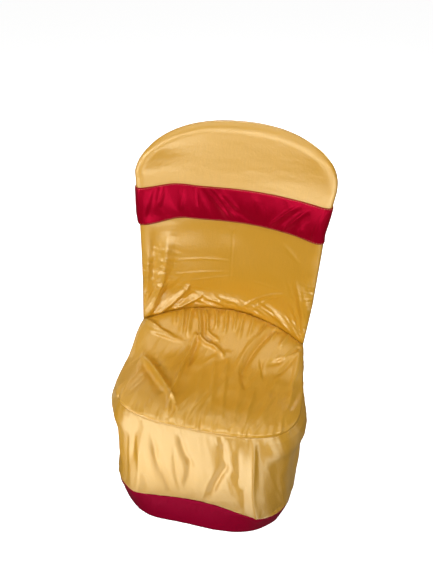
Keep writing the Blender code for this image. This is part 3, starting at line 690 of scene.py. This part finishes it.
def slack_at(z):
    table = np.array([[row["z"], row["slack"]] for row in OUTER_BACK_SLACK])
    at = np.clip(np.asarray(z, float), table[0, 0], table[-1, 0])
    step = np.clip(np.searchsorted(table[:, 0], at, side="right") - 1, 0, len(table) - 2)
    low, high = table[step], table[step + 1]
    share = smooth((at - low[..., 0]) / (high[..., 0] - low[..., 0]))
    return low[..., 1] + (high[..., 1] - low[..., 1]) * share


def outer_outline():
    """The rear panel's outline as (x, z), from the left foot over the top to the right foot."""
    share = np.linspace(0.0, 1.0, 60)[:-1, None]
    below = np.array([REAR_CORNER_HALF, BAND_TOP_Z]) * (1.0 - share) + np.array([WAIST_HALF, WAIST_Z]) * share
    arch = arch_outline()
    above = np.stack([arch[:, 0], back_z(arch[:, 1])], axis=1)
    return np.concatenate([below * [-1, 1], above, below[::-1]])


def outer_y(points):
    """The rear face over (x, z)."""
    x, z = points[..., 0], points[..., 1]
    s = np.maximum((z - WAIST_Z) / math.cos(BACK_TILT), 0.0)
    drop = np.clip((WAIST_Z - z) / (WAIST_Z - BAND_TOP_Z), 0.0, 1.0)
    low = smooth(drop)
    half = WAIST_HALF + (REAR_CORNER_HALF - WAIST_HALF) * drop
    bulge = WAIST_REACH + (REAR_BULGE_LOW - WAIST_REACH) * low
    below = WAIST_Y + (REAR_CORNER_Y - WAIST_Y) * drop + bulge * (1.0 - (x / half) ** 2)
    depth = half_depth(s) + (REAR_DEPTH - HALF_DEPTH_LOW) * low
    reach = EDGE_ROLL + (REAR_DEPTH - EDGE_ROLL) * low
    width = np.maximum(np.where(s > 0.0, back_half(s), half), 0.05)
    loose = slack_at(z) * np.clip(1.0 - (x / width) ** 2, 0.0, 1.0) ** 0.8
    edge = from_edge(points, outer_outline())
    return np.where(s > 0.0, middle_y(x, s), below) + depth * roll(edge, reach) + loose + SEAM_LAYER


# %% Cut the rear panel
def cut_outer_back(across=120, up=230):
    left, top, right = split_outline(resample(outer_outline(), 800), 0.405)
    foot = np.linspace([-REAR_CORNER_HALF, BAND_TOP_Z], [REAR_CORNER_HALF, BAND_TOP_Z], 60)
    grid = patch(resample(foot, across), resample(top, across), resample(left, up), resample(right, up))
    x, z = grid[..., 0], grid[..., 1]
    face = np.stack([x, outer_y(grid), z], axis=-1)
    rim = roll(from_edge(grid, outer_outline()), REAR_DEPTH)
    height = fold_height(grid, OUTER_FOLDS)
    height += 0.0030 * crinkles(x / 0.060, z / 0.200, 161) * smooth((0.60 - z) / 0.1)
    height += 0.0016 * crinkles(x / 0.050, z / 0.022, 171) * np.exp(-(((z - 0.47) / 0.05) ** 2))
    height += 0.0006 * noise(x / 0.040, z / 0.050, 181)
    return face - outward_of(face) * (height * rim)[..., None]


outer_back = make_sheet("rear_panel", cut_outer_back(), turned=True)

# %% [markdown]
# ## The hem band
#
# A band of the second colour is sewn round the whole lower edge. It is one closed ring, a little loose.


# %% Cut the hem band
def cut_hem_band(round_it=380, rear_it=120, down_it=16):
    rear = (REAR_CORNER_HALF + REAR_FOOT_OUT, REAR_CORNER_Y + REAR_FOOT_OUT)
    foot_plan = loop(BAND_FOOT_HALF, BAND_FOOT_FRONT_Y, SKIRT_CORNER_Y, BAND_FOOT_POWER, rear)
    swell = 0.009 * np.exp(-(((foot_plan[:, 0] + 0.13) / 0.06) ** 2))
    foot_plan[:, 1] -= np.where(foot_plan[:, 1] < 0.0, swell, 0.0)
    x = np.linspace(-REAR_CORNER_HALF, REAR_CORNER_HALF, rear_it + 1)
    y = outer_y(np.stack([x, np.full_like(x, BAND_TOP_Z)], axis=-1)[None])[0]
    rear_top = np.stack([x, y], axis=1)[::-1][1:-1]
    stretch = (REAR_CORNER_HALF + REAR_FOOT_OUT) / REAR_CORNER_HALF
    rear_foot = rear_top * [stretch, 1.0] + [0.0, REAR_FOOT_OUT]
    top = np.concatenate([resample(band_top(), round_it), rear_top])
    foot = np.concatenate([resample(foot_plan, round_it), rear_foot])
    rows = []
    for share in np.linspace(0.0, 1.0, down_it + 1):
        z = BAND_TOP_Z + (FLOOR_CLEARANCE - BAND_TOP_Z) * share
        rows.append(np.column_stack([top * (1.0 - share) + foot * share, np.full(len(top), z)]))
    grid = np.array(rows)
    share = np.linspace(0.0, 1.0, down_it + 1)[:, None]
    around = np.concatenate([[0.0], np.cumsum(np.linalg.norm(np.diff(top, axis=0), axis=1))])[None]
    height = 0.0045 * crinkles(around / 0.060 + 0.4 * share, share * 0.6, 191) * smooth(share / 0.3)
    puckers = 0.0040 * crinkles(around / 0.018, share * 1.2, 201)
    height += puckers * (1.0 - smooth(share / 0.6)) * smooth(share / 0.10)
    height -= 0.0008 * np.exp(-share * 0.06 / 0.003)
    return grid - outward_of(grid, closed=True) * height[..., None]


hem_band = make_sheet("hem", cut_hem_band(), closed=True, turned=True)

# %% [markdown]
# ## The sash
#
# The sash is a closed ring of the second colour, pulled round the back. Its folds run at a slant, because
# the band was turned a little as it was pulled tight.

# %% Folds of the sash
SASH_FOLDS = (
    (-0.214, 0.076, -0.216, 0.004, 0.00, 0.0035, 0.0022, 0.0, 0.8, 0.8),
    (-0.176, 0.072, -0.198, 0.012, 0.05, 0.0085, -0.0045, 0.3, 0.5, 0.3),
    (-0.160, 0.075, -0.176, 0.030, 0.05, 0.0060, 0.0030, 0.0, 0.4, 0.1),
    (-0.120, 0.070, -0.124, 0.014, 0.03, 0.0060, 0.0026, 0.2, 0.3, 0.2),
    (-0.088, 0.078, -0.083, 0.032, 0.00, 0.0022, -0.0042, 0.5, 0.9, 0.1),
    (-0.071, 0.078, -0.008, 0.010, 0.06, 0.0050, 0.0046, -0.4, 0.7, 0.2),
    (-0.055, 0.078, 0.010, 0.006, 0.06, 0.0050, 0.0042, 0.4, 0.7, 0.2),
    (-0.040, 0.074, 0.030, 0.016, 0.08, 0.0055, 0.0030, -0.3, 0.4, 0.1),
    (-0.004, 0.034, 0.054, 0.008, 0.06, 0.0080, -0.0040, 0.3, 0.3, 0.2),
    (-0.030, 0.060, 0.000, 0.030, 0.06, 0.0050, -0.0030, 0.3, 0.3, 0.2),
    (0.152, 0.066, 0.096, 0.006, -0.06, 0.0045, 0.0042, 0.4, 0.2, 0.7),
    (0.174, 0.062, 0.134, 0.006, -0.05, 0.0045, 0.0042, 0.4, 0.2, 0.7),
    (0.160, 0.060, 0.118, 0.010, -0.05, 0.0060, -0.0030, 0.0, 0.2, 0.5),
    (0.182, 0.060, 0.158, 0.010, -0.04, 0.0080, -0.0042, 0.0, 0.2, 0.5),
    (0.210, 0.070, 0.200, 0.010, -0.03, 0.0045, 0.0030, 0.2, 0.6, 0.5),
    (0.044, 0.070, 0.086, 0.016, 0.05, 0.0120, 0.0018, 0.0, 0.1, 0.1),
)
SASH_TROUGH = 0.0020
print(len(SASH_FOLDS), "folds")


# %% Cut the sash
def cut_sash(front_it=180, edge_it=14, up=30):
    rows, places = [], []
    for share in np.linspace(0.0, 1.0, up + 1):
        s = SASH_FROM + (SASH_TO - SASH_FROM) * share
        turn = np.linspace(0.0, math.pi / 2, edge_it + 1)
        corner = float(back_half(s)) - EDGE_ROLL * (1.0 - np.cos(turn))
        middle = np.linspace(-corner[-1], corner[-1], front_it + 1)[1:-1]
        across = np.concatenate([-corner, middle, corner[::-1]])
        sag = 0.008 * smooth((-across - 0.10) / 0.10) + 0.003 * smooth((across - 0.15) / 0.06)
        droop = (1.0 - share) * sag
        level = s - droop + 0.0065 * np.exp(-(((across + 0.135) / 0.045) ** 2))
        front = front_of_back(np.stack([across, level], axis=-1)[None])[0] - [0.0, SEAM_LAYER, 0.0]
        at = np.stack([across, back_z(level)], axis=-1)
        rear = np.stack([across, outer_y(at[None])[0], at[:, 1]], axis=-1)
        rows.append(np.concatenate([front, rear[::-1][1:-1]]))
        behind = np.full(len(across) - 2, 1.0)
        places.append(np.concatenate([across, behind]))
    grid = np.array(rows)
    up_it = np.linspace(0.0, SASH_TO - SASH_FROM, up + 1)[:, None]
    plan = np.stack(np.broadcast_arrays(np.array(places), up_it), axis=-1)
    around = np.linspace(0.0, 0.95, grid.shape[1])[None]
    edges = smooth(up_it / 0.004) * smooth((SASH_TO - SASH_FROM - up_it) / 0.004)
    folds = fold_height(plan, SASH_FOLDS)
    height = np.where(folds < 0.0, SASH_TROUGH * np.tanh(folds / SASH_TROUGH), folds)
    height += SASH_STAND_OFF * (1.0 - 0.55 * smooth((np.abs(grid[..., 0]) - 0.205) / 0.018))
    height += 0.0022 * crinkles((around + 0.6 * up_it) / 0.035, up_it / 0.120, 211) * (0.35 + 0.65 * edges)
    height += 0.0006 * edges
    return grid + outward_of(grid, closed=True) * height[..., None]


sash = make_sheet("sash_band", cut_sash(), closed=True)

# %% [markdown]
# ## Satin
#
# Satin floats long threads over its face, so it shines along one direction and stays dark along the
# other. The Principled BSDF's anisotropy does that, with its tangent read from the UV map. Fine streaks
# along the threads vary the colour and the roughness a little, and a weave bump breaks up the highlight.

# %% A satin material
def make_satin(name, colour, shine, ior, roughness, metallic, turn, drawn_out):
    """A satin whose highlight is drawn out across its threads."""
    satin = bpy.data.materials.new(name)
    satin.use_nodes = True
    tree = satin.node_tree
    nodes, links = tree.nodes, tree.links
    shader = nodes["Principled BSDF"]
    shader.inputs["Metallic"].default_value = metallic
    shader.inputs["IOR"].default_value = ior
    shader.inputs["Specular Tint"].default_value = shine
    shader.inputs["Anisotropic"].default_value = drawn_out
    shader.inputs["Anisotropic Rotation"].default_value = turn
    tangent = nodes.new("ShaderNodeTangent")
    tangent.direction_type = "UV_MAP"
    tangent.uv_map = "cloth"
    links.new(tangent.outputs["Tangent"], shader.inputs["Tangent"])
    place = nodes.new("ShaderNodeUVMap")
    place.uv_map = "cloth"
    stretch = nodes.new("ShaderNodeMapping")
    stretch.inputs["Scale"].default_value = (900.0, 30.0, 1.0) if turn == 0.0 else (30.0, 900.0, 1.0)
    links.new(place.outputs["UV"], stretch.inputs["Vector"])
    streaks = nodes.new("ShaderNodeTexNoise")
    streaks.inputs["Scale"].default_value = 1.0
    streaks.inputs["Detail"].default_value = 3.0
    links.new(stretch.outputs["Vector"], streaks.inputs["Vector"])
    dark = tuple(channel * 0.90 for channel in colour[:3]) + (1.0,)
    light = tuple(min(channel * 1.10, 1.0) for channel in colour[:3]) + (1.0,)
    shade = nodes.new("ShaderNodeMix")
    shade.data_type = "RGBA"
    shade.inputs["A"].default_value = dark
    shade.inputs["B"].default_value = light
    links.new(streaks.outputs["Fac"], shade.inputs["Factor"])
    links.new(shade.outputs["Result"], shader.inputs["Base Color"])
    gloss = nodes.new("ShaderNodeMapRange")
    gloss.inputs["From Min"].default_value = 0.3
    gloss.inputs["From Max"].default_value = 0.7
    gloss.inputs["To Min"].default_value = roughness - 0.03
    gloss.inputs["To Max"].default_value = roughness + 0.04
    links.new(streaks.outputs["Fac"], gloss.inputs["Value"])
    links.new(gloss.outputs["Result"], shader.inputs["Roughness"])
    mottle = nodes.new("ShaderNodeTexNoise")
    mottle.inputs["Scale"].default_value = 160.0
    mottle.inputs["Detail"].default_value = 4.0
    links.new(place.outputs["UV"], mottle.inputs["Vector"])
    weave = nodes.new("ShaderNodeTexWave")
    weave.bands_direction = "DIAGONAL"
    weave.inputs["Scale"].default_value = 520.0
    weave.inputs["Distortion"].default_value = 0.4
    links.new(place.outputs["UV"], weave.inputs["Vector"])
    both = nodes.new("ShaderNodeMath")
    both.operation = "MULTIPLY_ADD"
    both.inputs[1].default_value = 0.12
    links.new(weave.outputs["Fac"], both.inputs[0])
    links.new(mottle.outputs["Fac"], both.inputs[2])
    bump = nodes.new("ShaderNodeBump")
    bump.inputs["Strength"].default_value = 0.30
    bump.inputs["Distance"].default_value = 0.0010
    links.new(both.outputs["Value"], bump.inputs["Height"])
    links.new(bump.outputs["Normal"], shader.inputs["Normal"])
    print(name, "roughness", roughness, "IOR", ior)
    return satin


THREADS_UP, THREADS_ROUND = 0.0, 0.25
GOLD, GOLD_SHINE = (0.63, 0.308, 0.012, 1.0), (1.0, 1.0, 0.76, 1.0)
MAROON, MAROON_SHINE = (0.29, 0.0004, 0.011, 1.0), (1.0, 0.03, 0.14, 1.0)
# The hem band's maroon is darker than the sash's. That is painted shade, because the band gets less light low
# down. It is also a little bluer.
SHADED_HEM_MAROON, HEM_SHINE = (0.25, 0.0008, 0.018, 1.0), (1.0, 0.08, 0.30, 1.0)
gold = make_satin("gold_satin", GOLD, GOLD_SHINE, 2.2, 0.38, 0.04, THREADS_UP, 0.72)
gold_seat = make_satin("gold_satin_seat", GOLD, GOLD_SHINE, 2.1, 0.41, 0.03, THREADS_UP, 0.50)
gold_skirt = make_satin("gold_satin_round", GOLD, GOLD_SHINE, 2.9, 0.44, 0.02, THREADS_ROUND, 0.96)
maroon = make_satin("maroon_satin", MAROON, MAROON_SHINE, 1.7, 0.34, 0.20, THREADS_UP, 0.60)
maroon_hem_shaded = make_satin("maroon_satin_hem_shaded", SHADED_HEM_MAROON, HEM_SHINE, 1.5, 0.50, 0.1, THREADS_UP, 0.6)
inner_back["piece"].data.materials.append(gold)
outer_back["piece"].data.materials.append(gold)
seat["piece"].data.materials.append(gold_seat)
skirt["piece"].data.materials.append(gold_skirt)
sash["piece"].data.materials.append(maroon)
hem_band["piece"].data.materials.append(maroon_hem_shaded)

# %% [markdown]
# ## Stitches
#
# Gold thread holds the turned edges of the sash and the seam over the hem band, and a dark brown thread runs
# along the seam at the front of the seat: its dark colour is painted shade for the seam's shadow line. A
# stitch repeats hundreds of times along a line, so Geometry Nodes place it: the line becomes a curve, the
# curve is cut into even steps, and one small bead of thread is set on each step and turned along the line.

# %% A Geometry Nodes tree for stitches
def stitch_tree(thread):
    """A tree that turns a line of edges into a row of stitches."""
    tree = bpy.data.node_groups.new("stitches", "GeometryNodeTree")
    face = tree.interface
    face.new_socket("Seam line", in_out="INPUT", socket_type="NodeSocketGeometry")
    sizes = {title: face.new_socket(title, in_out="INPUT", socket_type="NodeSocketFloat").identifier
             for title in ("Stitch spacing", "Stitch length", "Thread thickness")}
    face.new_socket("Stitches", in_out="OUTPUT", socket_type="NodeSocketGeometry")
    nodes, links = tree.nodes, tree.links
    start, end = nodes.new("NodeGroupInput"), nodes.new("NodeGroupOutput")
    curve = nodes.new("GeometryNodeMeshToCurve")
    steps = nodes.new("GeometryNodeResampleCurve")
    steps.mode = "LENGTH"
    bead = nodes.new("GeometryNodeMeshUVSphere")
    bead.inputs["Segments"].default_value = 6
    bead.inputs["Rings"].default_value = 4
    bead.inputs["Radius"].default_value = 0.5
    along = nodes.new("GeometryNodeInputTangent")
    turn = nodes.new("FunctionNodeAlignRotationToVector")
    turn.axis = "X"
    size = nodes.new("ShaderNodeCombineXYZ")
    place = nodes.new("GeometryNodeInstanceOnPoints")
    realize = nodes.new("GeometryNodeRealizeInstances")
    finish = nodes.new("GeometryNodeSetMaterial")
    finish.inputs["Material"].default_value = thread
    links.new(start.outputs["Seam line"], curve.inputs["Mesh"])
    links.new(curve.outputs["Curve"], steps.inputs["Curve"])
    links.new(start.outputs["Stitch spacing"], steps.inputs["Length"])
    links.new(steps.outputs["Curve"], place.inputs["Points"])
    links.new(bead.outputs["Mesh"], place.inputs["Instance"])
    links.new(along.outputs["Tangent"], turn.inputs["Vector"])
    links.new(turn.outputs["Rotation"], place.inputs["Rotation"])
    links.new(start.outputs["Stitch length"], size.inputs["X"])
    links.new(start.outputs["Thread thickness"], size.inputs["Y"])
    links.new(start.outputs["Thread thickness"], size.inputs["Z"])
    links.new(size.outputs["Vector"], place.inputs["Scale"])
    links.new(place.outputs["Instances"], realize.inputs["Geometry"])
    links.new(realize.outputs["Geometry"], finish.inputs["Geometry"])
    links.new(finish.outputs["Geometry"], end.inputs["Stitches"])
    return tree, sizes


def sew(name, lines, spacing, length, thickness, thread):
    """Stitches along lines of points, as one plain mesh."""
    tree, sizes = stitch_tree(thread)
    seam = bpy.data.meshes.new(name + "_line")
    points, edges = [], []
    for line in lines:
        first = len(points)
        points += line.tolist()
        edges += [(first + i, first + i + 1) for i in range(len(line) - 1)]
    seam.from_pydata(points, edges, [])
    row = bpy.data.objects.new(name, seam)
    bpy.context.scene.collection.objects.link(row)
    modifier = row.modifiers.new("Stitches", "NODES")
    modifier.node_group = tree
    modifier[sizes["Stitch spacing"]] = spacing
    modifier[sizes["Stitch length"]] = length
    modifier[sizes["Thread thickness"]] = thickness
    made = bpy.data.meshes.new_from_object(row.evaluated_get(bpy.context.evaluated_depsgraph_get()))
    row.modifiers.remove(modifier)
    row.data = made
    made.shade_smooth()
    print(name, len(made.polygons), "faces")
    return row


def seam_line(sheet, row, lift):
    """A line of points just above one row of a sheet."""
    line = sheet["grid"][row] + sheet["outward"][row] * lift
    return np.concatenate([line, line[:1]]) if sheet["closed"] else line


# %% A plain thread material
def make_thread(name, colour):
    thread = bpy.data.materials.new(name)
    thread.use_nodes = True
    nodes, links = thread.node_tree.nodes, thread.node_tree.links
    shader = nodes["Principled BSDF"]
    shader.inputs["Roughness"].default_value = 0.5
    place = nodes.new("ShaderNodeTexCoord")
    twist = nodes.new("ShaderNodeTexNoise")
    twist.inputs["Scale"].default_value = 900.0
    links.new(place.outputs["Object"], twist.inputs["Vector"])
    shade = nodes.new("ShaderNodeMix")
    shade.data_type = "RGBA"
    shade.inputs["A"].default_value = tuple(0.75 * channel for channel in colour[:3]) + (1.0,)
    shade.inputs["B"].default_value = colour
    links.new(twist.outputs["Fac"], shade.inputs["Factor"])
    links.new(shade.outputs["Result"], shader.inputs["Base Color"])
    return thread


gold_thread = make_thread("gold_thread", (0.90, 0.62, 0.25, 1.0))
# Painted shade: the seam thread is dark brown so that the seat's front seam shows as a dark shadow line.
seam_shade_thread = make_thread("seam_shade_thread", (0.25, 0.11, 0.008, 1.0))
sash_stitches = sew("sash_stitches", [seam_line(sash, 1, 0.0002), seam_line(sash, -2, 0.0002)],
                    0.0060, 0.0026, 0.0009, gold_thread)
seam_stitches = sew("hem_stitches", [seam_line(skirt, -2, 0.0001)], 0.0042, 0.0030, 0.0006, gold_thread)
seat_stitches = sew("seat_stitches", [seam_line(seat, 1, 0.0001)], 0.0042, 0.0030, 0.0006, seam_shade_thread)

# %% [markdown]
# ## Hang each sheet under the root
#
# Each sheet is hung under the root, and the imported parts that it replaces are hidden. The flat size printed
# for a sheet is the mean length of its rows and of its columns. It is not a measured cutting pattern.

rear_nodes = [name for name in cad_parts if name.startswith("outer_back")]
declare(inner_back, ["inner_back"])
declare(seat, ["seat_panel"])
declare(skirt, ["skirt"])
declare(outer_back, rear_nodes)
declare(hem_band, ["hem_band"])
declare(sash, ["sash"])
for stitches in (sash_stitches, seam_stitches, seat_stitches):
    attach(stitches, "root")
print("sheets declared")

# %% [markdown]
# ## Floor, light and camera
#
# A white room, a floor and four far walls that send no light on to the cloth, with nine soft lamps in it. The
# camera stands in front of the chair, a little to the right of it and well above the seat, and looks down.

# %% Floor
FLOOR_Z = -float(ORIGIN[2])
FLOOR_HALF = 30.0
floor_mesh = bpy.data.meshes.new("floor")
square = [(x * FLOOR_HALF, y * FLOOR_HALF) for x, y in ((-1, -1), (1, -1), (1, 1), (-1, 1))]
corners = [(x, y, z) for z in (FLOOR_Z, FLOOR_HALF) for x, y in square]
walls = [(a + 4, (a + 1) % 4 + 4, (a + 1) % 4, a) for a in range(4)]
floor_mesh.from_pydata(corners, [], [(0, 1, 2, 3), *walls])
floor = bpy.data.objects.new("floor", floor_mesh)
bpy.context.scene.collection.objects.link(floor)
floor.visible_diffuse = False
floor.visible_glossy = False
floor_paint = bpy.data.materials.new("floor_paint")
floor_paint.use_nodes = True
paint = floor_paint.node_tree.nodes["Principled BSDF"]
paint.inputs["Base Color"].default_value = (0.9, 0.9, 0.9, 1.0)
paint.inputs["Roughness"].default_value = 0.9
paint.inputs["Emission Color"].default_value = (1.0, 1.0, 1.0, 1.0)
paint.inputs["Emission Strength"].default_value = 0.90
floor_mesh.materials.append(floor_paint)

# %% Light
LIGHTS = (
    {"name": "key", "at": (-1.9, -2.7, 1.05), "look": (0.0, 0.0, -0.25),
     "wide": 2.0, "high": 0.8, "power": 42.0},
    {"name": "dome", "at": (1.5, -2.7, 0.52), "look": (0.0, 0.0, -0.15),
     "wide": 0.9, "high": 0.9, "power": 38.0},
    {"name": "front", "at": (-0.4, -2.2, 1.5), "look": (0.0, 0.0, -0.40),
     "wide": 1.2, "high": 0.8, "power": 18.0},
    {"name": "glow", "at": (-0.30, -0.90, -0.90), "look": (-0.30, -0.89, 0.0),
     "wide": 0.7, "high": 0.5, "power": 4.6},
    {"name": "rear", "at": (-0.5, 1.9, 1.5), "look": (0.0, -0.3, -0.45),
     "wide": 1.4, "high": 0.8, "power": 24.0},
    {"name": "behind", "at": (0.8, 2.8, 0.10), "look": (0.0, 0.0, -0.45),
     "wide": 1.6, "high": 0.8, "power": 42.0},
    {"name": "right", "at": (2.6, -0.3, 0.10), "look": (0.0, -0.2, -0.55),
     "wide": 0.9, "high": 0.9, "power": 5.0},
    {"name": "left", "at": (-2.6, 0.5, 0.20), "look": (0.0, -0.2, -0.55),
     "wide": 0.9, "high": 0.9, "power": 9.0},
    {"name": "top", "at": (-0.2, -0.3, 2.0), "look": (0.0, -0.2, -0.40),
     "wide": 1.6, "high": 1.6, "power": 16.0},
)
for row in LIGHTS:
    data = bpy.data.lights.new(row["name"], "AREA")
    data.shape = "RECTANGLE"
    data.size, data.size_y = row["wide"], row["high"]
    data.energy = row["power"]
    lamp = bpy.data.objects.new(row["name"], data)
    lamp.visible_camera = False
    lamp.location = row["at"]
    lamp.rotation_euler = (Vector(row["look"]) - Vector(row["at"])).to_track_quat("-Z", "Y").to_euler()
    bpy.context.scene.collection.objects.link(lamp)
world = bpy.data.worlds.new("studio")
world.use_nodes = True
world.node_tree.nodes["Background"].inputs["Color"].default_value = (1.0, 0.99, 0.97, 1.0)
world.node_tree.nodes["Background"].inputs["Strength"].default_value = 0.08
bpy.context.scene.world = world
bpy.context.scene.view_settings.view_transform = "Standard"
print(len(LIGHTS), "lights")

# %% Camera
EYE = np.array([0.1496, -0.7225, 1.2609]) - ORIGIN
TURN, DOWN, ROLL = (math.radians(angle) for angle in (-11.8, 39.98, 0.52))
LENS = 27.39
forward = np.array([math.sin(TURN) * math.cos(DOWN), math.cos(TURN) * math.cos(DOWN), -math.sin(DOWN)])
right = np.cross(forward, [0.0, 0.0, 1.0])
right /= np.linalg.norm(right)
up = np.cross(right, forward)
right, up = right * math.cos(ROLL) + up * math.sin(ROLL), up * math.cos(ROLL) - right * math.sin(ROLL)
camera_data = bpy.data.cameras.new("camera")
camera_data.lens = LENS
camera_data.sensor_width = 36.0
camera = bpy.data.objects.new("camera", camera_data)
turn = Matrix([[right[i], up[i], -forward[i]] for i in range(3)]).to_4x4()
camera.matrix_world = Matrix.Translation(Vector(EYE)) @ turn
bpy.context.scene.collection.objects.link(camera)
bpy.context.scene.camera = camera
print("camera at", EYE.round(3))
